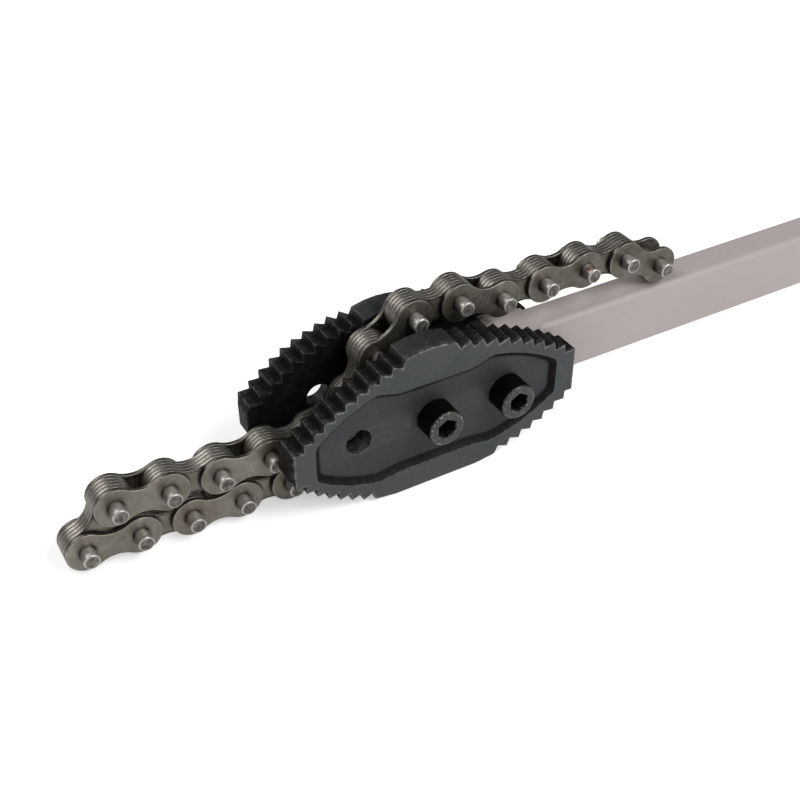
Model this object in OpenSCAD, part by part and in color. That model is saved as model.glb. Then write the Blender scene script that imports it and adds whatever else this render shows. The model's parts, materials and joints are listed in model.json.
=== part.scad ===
// Chain pipe wrench: two toothed double-ended jaw plates bolted to a forged bar handle, with a leaf chain
// whose long pins drop into seats between the jaws.
// Millimetres, +Z up, +X along the handle away from the jaws, screw heads towards -Y.

/* [Jaw plates] */
// length of a jaw plate from end to end
jaw_length = 160; // [156:0.5:166]
// height of a jaw plate between its plain edges
jaw_height = 78.4; // [77:0.2:82]
// distance of the plate's middle behind the centre screw
jaw_shift = 2.4; // [0:0.2:4]
// height of the plate's middle above the screws
jaw_rise = 1.2; // [0:0.1:1.3]
// thickness of a jaw plate at its rim
jaw_thickness = 14.6; // [13:0.2:16]
// clear distance between the two jaw plates
jaw_gap = 30; // [29.6:0.2:32]
// half-height of the flat at the rear end
rear_flat = 12.6; // [10:0.2:14]
// half-height of the flat at the front end
front_flat = 6.4; // [5:0.2:7.4]
// distance of the front flat's middle below the screws
front_drop = 2.6; // [1:0.2:4]
// plain top edge behind the centre screw
top_plain_rear = 10.5; // [8:0.5:14]
// plain top edge in front of the centre screw
top_plain_front = 17; // [14:0.5:20]
// plain bottom edge on each side of the centre screw
low_plain = 34.5; // [31:0.5:38]
// level stretch of the plain bottom edge on each side
low_level = 23; // [18:0.5:26]
// height of the lowest teeth above the bottom edge
low_rise = 1.6; // [0.6:0.2:2.4]
// depth of the notches between the teeth
tooth_depth = 3.6; // [2.6:0.1:3.8]
// share of a tooth taken by its steep outer flank
tooth_lean = 0.4; // [0.3:0.02:0.5]
// notches on the rear upper arc
teeth_top_rear = 10; // [7:1:10]
// notches on the front upper arc
teeth_top_front = 10; // [7:1:10]
// notches on each lower arc
teeth_low = 7; // [5:1:8]
// height of an arc over its chord, as a share of the chord
arc_bulge = 0.058; // [0.04:0.002:0.07]
// depth of the recess in the outer face
recess_depth = 3; // [2:0.2:4]
// width of the rim at each end of the plate
rim_end = 12.5; // [10:0.5:14]
// half-height of the recess at its ends
recess_end = 9.6; // [8:0.2:10.4]
// half-height of the recess at its narrow middle
recess_middle = 22.6; // [20:0.1:24]
// half-height of the recess at its widest
recess_wide = 26.2; // [24.6:0.2:27]
// distance from the centre screw to the recess's widest part
recess_wide_at = 32; // [29:0.5:35]
// distance from the centre screw to the recess's narrow part
recess_middle_at = 20; // [16:0.5:24]
// bevel at the plate ends, measured along the plate
end_bevel = 1.7; // [0.8:0.1:2.4]
// bevel at the plate ends, measured into the thickness
end_bevel_deep = 4; // [2:0.25:6]

/* [Screws and nuts] */
// distance between the three holes in a jaw plate
hole_spacing = 41; // [38:0.5:43]
// screw shank diameter
screw_d = 12.7; // [12:0.1:13]
// screw head diameter
screw_head_d = 19.05; // [18:0.05:20]
// screw head height
screw_head_h = 12.7; // [11.6:0.1:13.5]
// socket width across flats
socket_af = 9.525; // [8:0.025:10]
// socket depth
socket_depth = 7; // [5:0.5:8]
// chamfer round the screw head
screw_head_chamfer = 0.8; // [0.4:0.1:1.2]
// chamfer on the screw's end
screw_end_chamfer = 1; // [0.5:0.1:1.5]
// nut width across flats
nut_af = 19.05; // [18:0.05:20]
// nut height
nut_h = 11.1; // [10:0.1:11.4]
// radial clearance of the screws in their holes
screw_clearance = 0.4; // [0.3:0.05:0.6]

/* [Handle] */
// width of the bar
bar_width = 20; // [18:0.5:24]
// height of the bar
bar_height = 33.6; // [30:0.2:35]
// rounding of the bar's long edges
bar_round = 3; // [1.5:0.25:5]
// distance from the centre screw to the end of the bar
bar_reach = 740; // [400:10:900]
// diameter of the hanging hole
hang_hole_d = 14; // [10:0.5:16]
// length of the wide head behind the centre screw
head_back = 60; // [52:1:66]
// length of the taper from the head to the bar
head_taper = 14; // [8:1:18]
// length of the head in front of the centre screw
head_front = 10; // [9.5:0.25:11]
// height of the two chain cheeks above the centre line
cheek_top = 32.5; // [30:0.5:34.5]
// distance from the centre screw to the front of the cheeks
cheek_front = 5; // [5:0.5:9]
// length of the cheeks' level top behind the centre screw
cheek_level = 36; // [33:0.5:38]
// length of the slope behind the cheeks' level top
cheek_slope = 14; // [10:0.5:18]
// depth of the pin seats' centres below the cheeks' top
seat_drop = 1; // [0.5:0.25:2]
// radial clearance of the chain pins in their seats
seat_clearance = 0.4; // [0.3:0.05:0.6]
// distance of the first seat behind the centre screw
seat_at = 1; // [0:0.25:2]
// width of the slot between the cheeks
cheek_slot = 15.4; // [15:0.2:16.4]
// radius of the fork's ends round the anchor pin
fork_radius = 8.5; // [7.5:0.25:9]
// width of the fork over its two ears
fork_width = 26; // [22:0.5:27]
// root of the fork's ears in the head
fork_root = 2; // [1:0.25:3]
// height of the fork's ears above the centre line at the head
fork_top = 4; // [2:0.5:6]
// distance of the anchor pin in front of the centre screw
anchor_ahead = 19.8; // [19.4:0.1:20.2]
// distance of the anchor pin below the centre screw
anchor_drop = 17.6; // [17.4:0.1:17.6]
// clearance of the first link's round end in the head
nose_clearance = 0.8; // [0.5:0.1:1.2]

/* [Chain] */
// distance between neighbouring pins
chain_pitch = 25.4; // [25.3:0.05:25.5]
// height of a plate at its round ends
plate_height = 20.4; // [19.6:0.1:20.6]
// height of a plate at its waist
plate_waist = 13.2; // [12:0.1:14]
// thickness of one plate
plate_t = 2.1; // [1.9:0.05:2.2]
// plates in one inner link
pack_plates = 4; // [3:1:4]
// gap between the plates of a pack
pack_gap = 0.2; // [0.1:0.05:0.3]
// gap between a pack and the plates outside it
side_gap = 0.35; // [0.3:0.05:0.5]
// diameter of a chain pin
pin_d = 8; // [7.4:0.1:8.2]
// length of pin standing out on each side
pin_out = 7; // [5:0.25:7.2]
// chamfer on the pin ends
pin_chamfer = 0.6; // [0.3:0.1:1]
// radial running clearance of the pins in the packs
pin_clearance = 0.06; // [0.02:0.01:0.1]
// height of the last link above the bar it comes down on
tail_gap = 1.1; // [0.8:0.1:2]

/* [Hidden] */
$fn = 96;
jl = jaw_length / 2;
jh = jaw_height / 2;
rear_x = jl + jaw_shift;
front_x = jl - jaw_shift;
top_z = jh + jaw_rise;
low_z = jh - jaw_rise;
rim_y = jaw_gap / 2 + jaw_thickness;
floor_y = rim_y - recess_depth;
hole_r = screw_d / 2 + screw_clearance;
end_y = floor_y + screw_head_h;

plate_r = plate_height / 2;
waist = plate_waist / 2;
hollow_r = (chain_pitch * chain_pitch / 4 + waist * waist - plate_r * plate_r) / (2 * (plate_r - waist));
hollow_x = plate_r * chain_pitch / 2 / (plate_r + hollow_r);
hollow_y = plate_r * (waist + hollow_r) / (plate_r + hollow_r);
pack_w = pack_plates * plate_t + (pack_plates - 1) * pack_gap;
outer_y = pack_w / 2 + side_gap + plate_t / 2;
pin_len = pack_w + 2 * side_gap + 2 * plate_t + 2 * pin_out;
pin_r = pin_d / 2;
pack_hole_r = pin_r + pin_clearance;

// The chain as it lies in the picture: direction of each link, from the anchor pin to the free end.
anchor = [-anchor_ahead, -anchor_drop];
run_lower = [203.2, 180, 180, 179, 178, 177.5];
run_upper = [50, -4, -3, 0.5];
run_rise = [1, 33, 63, 37];
run_tail = [2, -13, 1, 1, -4];
run_angle = concat(run_lower, run_upper, run_rise, run_tail);
function run_pin(k) = k == 0 ? anchor
    : run_pin(k - 1) + chain_pitch * [cos(run_angle[k - 1]), sin(run_angle[k - 1])];
// The last link comes down on the bar.
tail_z = bar_height / 2 + plate_r + tail_gap;
tail_angle = asin((tail_z - run_pin(len(run_angle))[1]) / chain_pitch);
link_angle = concat(run_angle, [tail_angle]);
function pin_at(k) = k == 0 ? anchor
    : pin_at(k - 1) + chain_pitch * [cos(link_angle[k - 1]), sin(link_angle[k - 1])];
chain_x = run_pin(len(run_lower))[0] - plate_r;
origin_x = -(chain_x + bar_reach) / 2;
origin_z = low_z;

jaw_black = [0.16, 0.17, 0.18];
screw_black = [0.1, 0.1, 0.11];
bar_grey = [0.68, 0.65, 0.62];
chain_steel = [0.42, 0.41, 0.38];
pin_steel = [0.55, 0.53, 0.5];

// Moves the centre screw's axis to where the object's footprint is centred on the origin.
module placed() {
    translate([origin_x, 0, origin_z]) children();
}

// A flat shape drawn in X and Z, thickened along Y from y0 to y1.
module along_y(y0, y1) {
    translate([0, y1, 0]) rotate([90, 0, 0]) linear_extrude(y1 - y0) children();
}

// A round bar along Y from y0 to y1.
module round_y(x, z, r, y0, y1) {
    translate([x, y1, z]) rotate([90, 0, 0]) cylinder(h = y1 - y0, r = r);
}

// A point at share t of the arc from p0 to p1, moved inwards by d. The arc bulges to the right of that way.
function arc_point(p0, p1, t, d) = let (
    chord = p1 - p0,
    r = norm(chord) * (1 + 4 * arc_bulge * arc_bulge) / (8 * arc_bulge),
    out = [chord[1], -chord[0]] / norm(chord),
    c = (p0 + p1) / 2 - out * (r - arc_bulge * norm(chord)),
    a0 = atan2(p0[1] - c[1], p0[0] - c[0]),
    a1 = atan2(p1[1] - c[1], p1[0] - c[0]),
    a = a0 + (a1 - a0) * t)
    c + (r - d) * [cos(a), sin(a)];

// Teeth along such an arc: each has a long flank and a steep one that faces the end of the plate.
function toothed(p0, p1, count) = concat([for (i = [0 : count - 1]) for (root = [0, 1])
    arc_point(p0, p1, (i + root * (1 - tooth_lean)) / count, root * tooth_depth)], [p1]);
function plain_arc(p0, p1) = [for (i = [0 : 6]) arc_point(p0, p1, i / 6, 0)];
function swap(points) = [for (i = [len(points) - 1 : -1 : 0]) points[i]];
function flip_x(points) = [for (p = points) [-p[0], p[1]]];
function flip_z(points) = [for (p = points) [p[0], -p[1]]];

// A toothed stretch whose first tooth rises from the corner of an end flat at x, z.
function cornered(x, z, p1, count) =
    concat([[x, z]], toothed([x - tooth_depth / 2, z + tooth_depth], p1, count));

// Four quarters, each drawn from the end flat to the plain edge as if it were the upper rear one.
module jaw_outline() {
    low_end = [low_plain, low_z - low_rise];
    foot = [[low_level, low_z]];
    top_rear = cornered(rear_x, rear_flat - tooth_depth, [top_plain_rear, top_z], teeth_top_rear);
    top_front = cornered(front_x, front_flat - front_drop, [top_plain_front, top_z], teeth_top_front);
    low_rear = concat(toothed([rear_x, rear_flat], low_end, teeth_low), foot);
    low_front = concat(cornered(front_x, front_flat + front_drop, low_end, teeth_low), foot);
    polygon(concat(top_rear, swap(flip_x(top_front)), flip_z(flip_x(low_front)), swap(flip_z(low_rear))));
}

// A quarter of the recess: it follows the teeth from the rim at the end and is waisted in the middle.
function recess_quarter(x, z) =
    concat(plain_arc([x - rim_end, z], [recess_wide_at, recess_wide]), [[recess_middle_at, recess_middle]]);

module recess_outline() {
    rear = recess_quarter(rear_x, recess_end);
    top_front = recess_quarter(front_x, recess_end - front_drop);
    low_front = recess_quarter(front_x, recess_end + front_drop);
    polygon(concat(rear, swap(flip_x(top_front)), flip_z(flip_x(low_front)), swap(flip_z(rear))));
}

// A sloped cut over the outer corner at a plate end, on the side s.
module end_cut(x, s) {
    linear_extrude(2 * jaw_height, center = true)
        polygon([[s * x, -rim_y - 1], [s * (x - end_bevel), -rim_y - 1], [s * (x - end_bevel), -rim_y],
            [s * x, -rim_y + end_bevel_deep], [s * (x + 1), -rim_y + end_bevel_deep], [s * (x + 1), -rim_y - 1]]);
}

// The near jaw; the far one is its mirror image.
module jaw_plate() {
    difference() {
        along_y(-rim_y, -jaw_gap / 2) jaw_outline();
        along_y(-rim_y - 1, -floor_y) recess_outline();
        for (i = [-1 : 1]) round_y(i * hole_spacing, 0, hole_r, -rim_y, 0);
        end_cut(rear_x, 1);
        end_cut(front_x, -1);
    }
}

module near_jaw() {
    color(jaw_black) placed() jaw_plate();
}

module far_jaw() {
    color(jaw_black) placed() mirror([0, 1, 0]) jaw_plate();
}

// A socket-head cap screw, head seated in the near jaw's recess, end level with the head on the far side.
module cap_screw(x) {
    placed() translate([x, 0, 0]) rotate([90, 0, 0]) difference() {
        union() {
            translate([0, 0, -end_y])
                cylinder(h = screw_end_chamfer, r1 = screw_d / 2 - screw_end_chamfer, r2 = screw_d / 2);
            translate([0, 0, screw_end_chamfer - end_y])
                cylinder(h = end_y + floor_y - screw_end_chamfer, r = screw_d / 2);
            translate([0, 0, floor_y]) cylinder(h = screw_head_h - screw_head_chamfer, r = screw_head_d / 2);
            translate([0, 0, end_y - screw_head_chamfer])
                cylinder(h = screw_head_chamfer, r1 = screw_head_d / 2, r2 = screw_head_d / 2 - screw_head_chamfer);
        }
        translate([0, 0, end_y - socket_depth])
            cylinder(h = socket_depth + 1, r = socket_af / 2 / cos(30), $fn = 6);
    }
}

module centre_screw() {
    color(screw_black) cap_screw(0);
}

module rear_screw() {
    color(screw_black) cap_screw(hole_spacing);
}

module hex_nut(x) {
    placed() translate([x, floor_y, 0]) rotate([-90, 0, 0]) difference() {
        intersection() {
            cylinder(h = nut_h, r = nut_af / 2 / cos(30), $fn = 6);
            cylinder(h = nut_h, r1 = nut_af * 0.85, r2 = nut_af * 0.5);
        }
        translate([0, 0, -1]) cylinder(h = nut_h + 2, r = screw_d / 2);
    }
}

module centre_nut() {
    color(screw_black) hex_nut(0);
}

module rear_nut() {
    color(screw_black) hex_nut(hole_spacing);
}

// Cross-section of the bar, width along X and height along Y.
module bar_section(w, h) {
    square([w - 2 * bar_round, h], center = true);
    square([w, h - 2 * bar_round], center = true);
    for (i = [-1, 1]) for (j = [-1, 1])
        translate([i * (w / 2 - bar_round), j * (h / 2 - bar_round)]) circle(bar_round);
}

module bar() {
    end_x = bar_reach - bar_height / 2;
    translate([head_back, 0, 0]) rotate([90, 0, 90])
        linear_extrude(end_x - head_back) bar_section(bar_width, bar_height);
    translate([end_x, 0, 0]) rotate([90, 0, 0]) rotate_extrude() intersection() {
        bar_section(bar_height, bar_width);
        translate([0, -bar_width]) square([bar_height, 2 * bar_width]);
    }
}

module head() {
    bw = bar_width / 2;
    hw = jaw_gap / 2;
    back = head_back + head_taper;
    translate([0, 0, -bar_height / 2]) linear_extrude(bar_height) polygon([[-head_front, -hw], [head_back, -hw],
        [back, -bw], [back, bw], [head_back, hw], [-head_front, hw]]);
    cheek_w = (jaw_gap - cheek_slot) / 2;
    for (s = [-1, 1]) {
        y0 = s < 0 ? -hw : hw - cheek_w;
        along_y(y0, y0 + cheek_w) difference() {
            polygon([[-cheek_front, 0], [-cheek_front, cheek_top], [cheek_level, cheek_top],
                [cheek_level + cheek_slope, bar_height / 2], [cheek_level + cheek_slope, 0]]);
            for (i = [0, 1]) translate([seat_at + i * chain_pitch, cheek_top - seat_drop])
                circle(pin_r + seat_clearance);
        }
    }
}

// Two ears that hold the anchor pin below the nose of the head.
module fork() {
    ear = fork_width / 2 - pack_w / 2 - side_gap;
    for (s = [-1, 1]) {
        y0 = s < 0 ? -fork_width / 2 : fork_width / 2 - ear;
        along_y(y0, y0 + ear) {
            translate(anchor) circle(fork_radius);
            polygon([[-head_front + fork_root, fork_top], [-head_front, fork_top],
                anchor + fork_radius * [cos(130), sin(130)], anchor + fork_radius * [cos(-75), sin(-75)],
                [-head_front + fork_root, -bar_height / 2]]);
        }
    }
}

module handle() {
    color(bar_grey) placed() difference() {
        union() {
            bar();
            difference() {
                head();
                round_y(anchor[0], anchor[1], plate_r + nose_clearance, -pack_w / 2 - side_gap, pack_w / 2 + side_gap);
            }
            fork();
        }
        for (i = [0, 1]) round_y(i * hole_spacing, 0, hole_r, -jaw_gap, jaw_gap);
        round_y(anchor[0], anchor[1], pin_r, -jaw_gap, jaw_gap);
        round_y(bar_reach - bar_height / 2, 0, hang_hole_d / 2, -jaw_gap, jaw_gap);
    }
}

// A chain pin along Y with chamfered ends.
module chain_pin(p) {
    translate([p[0], pin_len / 2, p[1]]) rotate([90, 0, 0]) {
        cylinder(h = pin_chamfer, r1 = pin_r - pin_chamfer, r2 = pin_r);
        translate([0, 0, pin_chamfer]) cylinder(h = pin_len - 2 * pin_chamfer, r = pin_r);
        translate([0, 0, pin_len - pin_chamfer]) cylinder(h = pin_chamfer, r1 = pin_r, r2 = pin_r - pin_chamfer);
    }
}

module anchor_pin() {
    color(pin_steel) placed() chain_pin(anchor);
}

// A chain plate: two round ends joined by a waist that runs smoothly into them.
module plate_shape(hole) {
    difference() {
        union() {
            circle(plate_r);
            translate([chain_pitch, 0]) circle(plate_r);
            translate([hollow_x, -hollow_y]) square([chain_pitch - 2 * hollow_x, 2 * hollow_y]);
        }
        for (s = [-1, 1]) translate([chain_pitch / 2, s * (waist + hollow_r)]) circle(hollow_r);
        circle(hole);
        translate([chain_pitch, 0]) circle(hole);
    }
}

// Carries what is drawn along +X from the origin to link k.
module at_link(k) {
    p = pin_at(k);
    placed() translate([p[0], 0, p[1]]) rotate([0, -link_angle[k], 0]) children();
}

module pack(k) {
    color(chain_steel) at_link(k) for (i = [0 : pack_plates - 1]) {
        y0 = -pack_w / 2 + i * (plate_t + pack_gap);
        along_y(y0, y0 + plate_t) plate_shape(pack_hole_r);
    }
}

module plate_pair(k) {
    color(chain_steel) at_link(k) for (s = [-1, 1])
        along_y(s * outer_y - plate_t / 2, s * outer_y + plate_t / 2) plate_shape(pin_r);
}

module pin_pair(k) {
    color(pin_steel) placed() for (i = [k, k + 1]) chain_pin(pin_at(i));
}

module inner_link_01() {
    pack(0);
}

module inner_link_02() {
    pack(2);
}

module inner_link_03() {
    pack(4);
}

module inner_link_04() {
    pack(6);
}

module inner_link_05() {
    pack(8);
}

module inner_link_06() {
    pack(10);
}

module inner_link_07() {
    pack(12);
}

module inner_link_08() {
    pack(14);
}

module inner_link_09() {
    pack(16);
}

module inner_link_10() {
    pack(18);
}

module outer_link_01() {
    plate_pair(1);
}

module outer_link_02() {
    plate_pair(3);
}

module outer_link_03() {
    plate_pair(5);
}

module outer_link_04() {
    plate_pair(7);
}

module outer_link_05() {
    plate_pair(9);
}

module outer_link_06() {
    plate_pair(11);
}

module outer_link_07() {
    plate_pair(13);
}

module outer_link_08() {
    plate_pair(15);
}

module outer_link_09() {
    plate_pair(17);
}

module outer_link_10() {
    plate_pair(19);
}

module link_pins_01() {
    pin_pair(1);
}

module link_pins_02() {
    pin_pair(3);
}

module link_pins_03() {
    pin_pair(5);
}

module link_pins_04() {
    pin_pair(7);
}

module link_pins_05() {
    pin_pair(9);
}

module link_pins_06() {
    pin_pair(11);
}

module link_pins_07() {
    pin_pair(13);
}

module link_pins_08() {
    pin_pair(15);
}

module link_pins_09() {
    pin_pair(17);
}

module link_pins_10() {
    pin_pair(19);
}

handle();
near_jaw();
far_jaw();
centre_screw();
rear_screw();
centre_nut();
rear_nut();
anchor_pin();
inner_link_01();
inner_link_02();
inner_link_03();
inner_link_04();
inner_link_05();
inner_link_06();
inner_link_07();
inner_link_08();
inner_link_09();
inner_link_10();
outer_link_01();
outer_link_02();
outer_link_03();
outer_link_04();
outer_link_05();
outer_link_06();
outer_link_07();
outer_link_08();
outer_link_09();
outer_link_10();
link_pins_01();
link_pins_02();
link_pins_03();
link_pins_04();
link_pins_05();
link_pins_06();
link_pins_07();
link_pins_08();
link_pins_09();
link_pins_10();
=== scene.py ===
# %% [markdown]
# # Chain pipe wrench
# The tool has two toothed jaws, a long bar and a leaf chain that wraps a pipe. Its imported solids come
# in first and stay where they are, because they carry the joints. They give every size and place below,
# and the bodies that the new pieces ride on. Blender's lengths are metres, so MM turns millimetres into
# them.

# %% load the frame
import json
import math
import bmesh
import bpy
import numpy as np
from mathutils import Matrix, Vector
from mathutils.geometry import tessellate_polygon


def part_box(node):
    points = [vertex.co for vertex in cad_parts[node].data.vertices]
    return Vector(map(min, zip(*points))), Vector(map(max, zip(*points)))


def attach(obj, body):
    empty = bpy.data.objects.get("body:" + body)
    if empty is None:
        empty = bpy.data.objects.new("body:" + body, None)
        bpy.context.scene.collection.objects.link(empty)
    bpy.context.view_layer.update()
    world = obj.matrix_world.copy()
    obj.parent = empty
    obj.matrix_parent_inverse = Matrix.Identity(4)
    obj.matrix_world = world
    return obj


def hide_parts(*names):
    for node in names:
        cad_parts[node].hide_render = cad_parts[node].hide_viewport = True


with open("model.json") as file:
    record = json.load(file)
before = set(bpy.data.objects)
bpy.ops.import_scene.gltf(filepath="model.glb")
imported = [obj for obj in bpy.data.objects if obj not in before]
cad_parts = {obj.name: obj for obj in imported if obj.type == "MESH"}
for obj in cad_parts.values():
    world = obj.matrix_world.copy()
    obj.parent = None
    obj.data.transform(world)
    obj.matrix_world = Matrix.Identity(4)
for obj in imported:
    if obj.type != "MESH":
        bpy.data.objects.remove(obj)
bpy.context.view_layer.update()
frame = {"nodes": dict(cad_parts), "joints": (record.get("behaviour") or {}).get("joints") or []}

MM = 0.001
jaw_low, jaw_high = (np.array(v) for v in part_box("near_jaw"))
MID = np.mean(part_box("centre_screw"), axis=0) * [1, 0, 1]
print("centre screw axis at", MID.round(4), "jaw", ((jaw_high - jaw_low) / MM).round(2))

# %% [markdown]
# ## Where the chain lies
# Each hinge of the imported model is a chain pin, so the hinge list gives the pins in order. The last pin
# carries no hinge, and its place comes from the box of the last pin pair. The places could be typed in,
# but read from the frame they stay right when the chain is packed anew.

# %% chain pins and link directions
hinges = np.array([j["pos_m"] for j in frame["joints"]])[:, [0, 2]]
tail_low, tail_high = (np.array(v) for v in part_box("link_pins_10"))
PIN_R = 4 * MM
last = np.array([tail_high[0] - PIN_R, tail_low[2] + PIN_R])
PINS = np.vstack([hinges, last])
steps = np.diff(PINS, axis=0)
PITCH = float(np.linalg.norm(steps, axis=1).mean())
DIRS = steps / np.linalg.norm(steps, axis=1)[:, None]
print("pins", len(PINS), "pitch mm", round(PITCH / MM, 3))

# %% [markdown]
# ## Camera
# The camera stands in front of the jaws, a little above and to the left of the tool, as in the
# photograph. It could be set by eye. It was worked out from the chain pins, the screws and the bar's
# edges instead, so that every edge can be compared with the photograph.

# %% camera
FOCAL_PX, PICTURE_PX = 1195.35, 800
EYE = np.array([-236.908, -415.785, 354.252]) * MM + MID
RIGHT = np.array([0.868709, -0.495232, -0.009456])
DOWN = np.array([-0.305571, -0.520795, -0.797119])
AHEAD = np.array([0.389834, 0.695354, -0.603748])
lens = bpy.data.cameras.new("camera")
lens.sensor_width = 36
lens.lens = FOCAL_PX / PICTURE_PX * lens.sensor_width
lens.clip_start, lens.clip_end = 0.01, 50
camera = bpy.data.objects.new("camera", lens)
turn = np.eye(4)
turn[:3, 0], turn[:3, 1], turn[:3, 2], turn[:3, 3] = RIGHT, -DOWN, -AHEAD, EYE
camera.matrix_world = Matrix(turn.tolist())
bpy.context.scene.collection.objects.link(camera)
bpy.context.scene.camera = camera
print("lens mm", round(lens.lens, 2))

# %% [markdown]
# ## Surfaces from arrays
# Plates, pins and jaws could be cut with Boolean modifiers, but those leave uneven faces along the
# edges. Here a surface is built from arrays: rings of points are joined by quads, and flat ground is
# filled with triangles. Each point has three looks too: the wear look is 1 where handling has rubbed
# the finish off and where a highlight is painted on, the grime look is 1 where black scale or oil sits
# and where shade is painted on, and stain is 1 where rust or a dab of paint shows.

# %% surface helpers
LOOKS = ("wear", "grime_and_shade", "stain")
print("looks at each point", LOOKS)


def skin(rows, look):
    """Quads between neighbouring closed rings: rows[i, j] is point j of ring i, and look[i] or look[i, j]
    holds its looks."""
    count, size = rows.shape[:2]
    i, j = np.meshgrid(np.arange(count - 1), np.arange(size), indexing="ij")
    k = (j + 1) % size
    quads = np.stack([i * size + j, i * size + k, (i + 1) * size + k, (i + 1) * size + j], -1)
    look = np.asarray(look, float)
    look = np.repeat(look[:, None], size, 1) if look.ndim == 2 else look
    look = np.pad(look.reshape(count * size, -1), ((0, 0), (0, len(LOOKS) - look.shape[-1])))
    return rows.reshape(-1, 3), [quads.reshape(-1, 4)], look


def flat(*loops, look=(0.0, 0.0, 0.0)):
    """Triangles that fill the first loop and leave the others open as holes, all loops in one plane."""
    triangles = tessellate_polygon([loop.tolist() for loop in loops])
    points = np.vstack(loops)
    return points, [np.array(triangles)], np.tile(np.asarray(look, float), (len(points), 1))


def join(*surfaces):
    """Several surfaces as one: the face numbers of each shift by the points that come before it."""
    starts = np.cumsum([0] + [len(s[0]) for s in surfaces[:-1]])
    faces = [f + start for s, start in zip(surfaces, starts) for f in s[1]]
    return np.vstack([s[0] for s in surfaces]), faces, np.vstack([s[2] for s in surfaces])

# %% [markdown]
# A mesh object is filled from the arrays in one go. Its doubled points are merged, its faces turned
# outward and its real corners kept sharp. A Bevel modifier could round the edges, but the rings already
# do. The Weighted Normal modifier then lets the large flat faces rule the shading next to the small
# rounded edges.

# %% from surface to piece
SHARP = math.radians(50)
print("corners stay sharp from", round(math.degrees(SHARP)), "degrees")


def tidy(mesh):
    """Merges doubled points, points the faces outward and marks the corners that stay sharp."""
    work = bmesh.new()
    work.from_mesh(mesh)
    bmesh.ops.remove_doubles(work, verts=work.verts, dist=1e-6)
    bmesh.ops.recalc_face_normals(work, faces=work.faces)
    work.to_mesh(mesh)
    work.free()
    mesh.polygons.foreach_set("use_smooth", np.ones(len(mesh.polygons), bool))
    mesh.set_sharp_from_angle(angle=SHARP)


def piece(name, surface, finish, body, *nodes, slot):
    """A mesh object from a surface, which rides on a body and stands for the named solids."""
    points, faces, look = surface
    mesh = bpy.data.meshes.new(name)
    mesh.vertices.add(len(points))
    mesh.vertices.foreach_set("co", points.astype(np.float32).ravel())
    corners = np.concatenate([f.ravel() for f in faces]).astype(np.int32)
    sizes = np.concatenate([np.full(len(f), f.shape[1]) for f in faces])
    mesh.loops.add(len(corners))
    mesh.loops.foreach_set("vertex_index", corners)
    mesh.polygons.add(len(sizes))
    mesh.polygons.foreach_set("loop_start", (np.cumsum(sizes) - sizes).astype(np.int32))
    mesh.update(calc_edges=True)
    for column, kind in enumerate(LOOKS):
        values = look[:, column].astype(np.float32)
        mesh.attributes.new(kind, "FLOAT", "POINT").data.foreach_set("value", values)
    tidy(mesh)
    mesh.materials.append(finish)
    made = bpy.data.objects.new(name, mesh)
    bpy.context.scene.collection.objects.link(made)
    made.modifiers.new("even normals", "WEIGHTED_NORMAL").keep_sharp = True
    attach(made, body)
    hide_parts(*nodes)
    return made

# %% [markdown]
# ## Finishes
# Real finishes are never one even tone. They could be painted as pictures, but noise nodes need no
# unwrapping and stay sharp from close up. Every finish starts from Object coordinates, so a pattern
# stays on its piece. Large soft noise changes the tone, fine noise makes grain and bump, and the looks
# of each point say where it is worn or carries a painted highlight, where it is oily, scaled or carries
# painted shade, and where it is stained.

# %% node helpers
class Finish:
    """A material under construction, with short names for the nodes that all finishes use."""

    def __init__(self, name):
        self.material = bpy.data.materials.new(name)
        self.material.use_nodes = True
        self.tree = self.material.node_tree
        self.shader = self.tree.nodes["Principled BSDF"]
        self.place = self.tree.nodes.new("ShaderNodeTexCoord").outputs["Object"]

    def feed(self, socket, value):
        """Links an input to another node's output, or sets it to a plain value."""
        if isinstance(value, bpy.types.NodeSocket):
            self.tree.links.new(value, socket)
        else:
            socket.default_value = value

    def add(self, kind, inputs=(), **settings):
        """A new node with its settings and its inputs, which go by name or by number."""
        node = self.tree.nodes.new(kind)
        for key, value in settings.items():
            setattr(node, key, value)
        for key, value in dict(inputs).items():
            self.feed(node.inputs[key], value)
        return node

    def noise(self, scale, detail=3.0, rough=0.55, stretch=None):
        """Noise at a scale in features per metre, drawn out along an axis where stretch is given."""
        place = self.place
        if stretch:
            place = self.add("ShaderNodeMapping", {"Vector": place, "Scale": stretch}).outputs[0]
        inputs = {"Vector": place, "Scale": scale, "Detail": detail, "Roughness": rough}
        return self.add("ShaderNodeTexNoise", inputs).outputs[0]

    def ramp(self, value, low, high, out_low=0.0, out_high=1.0):
        """Maps low..high to out_low..out_high, held at both ends."""
        inputs = {"Value": value, "From Min": low, "From Max": high}
        inputs.update({"To Min": out_low, "To Max": out_high})
        return self.add("ShaderNodeMapRange", inputs).outputs[0]

    def math(self, how, a, b):
        """Two values put through one operation, such as ADD or MULTIPLY."""
        return self.add("ShaderNodeMath", {0: a, 1: b}, operation=how).outputs[0]

    def blend(self, factor, a, b):
        """Colour a where factor is 0 and colour b where it is 1."""
        a, b = ((*colour, 1.0) if isinstance(colour, tuple) else colour for colour in (a, b))
        return self.add("ShaderNodeMix", {0: factor, 6: a, 7: b}, data_type="RGBA").outputs[2]

    def look(self, kind, patchy=None):
        """One of the looks of the surface, broken up by a patchy 0 to 1 value where one is given."""
        value = self.add("ShaderNodeAttribute", attribute_name=kind).outputs["Fac"]
        return self.math("MULTIPLY", value, patchy) if patchy else value

    def bump(self, height, depth, strength=1.0, onto=None):
        """A bump of a depth in metres, laid onto another bump where one is given."""
        inputs = {"Height": height, "Distance": depth, "Strength": strength}
        if onto:
            inputs["Normal"] = onto
        return self.add("ShaderNodeBump", inputs).outputs[0]

    def done(self, **sockets):
        """Feeds the shader's own inputs, spaces written as underscores, and returns the material."""
        for key, value in sockets.items():
            self.feed(self.shader.inputs[key.replace("_", " ")], value)
        return self.material

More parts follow.
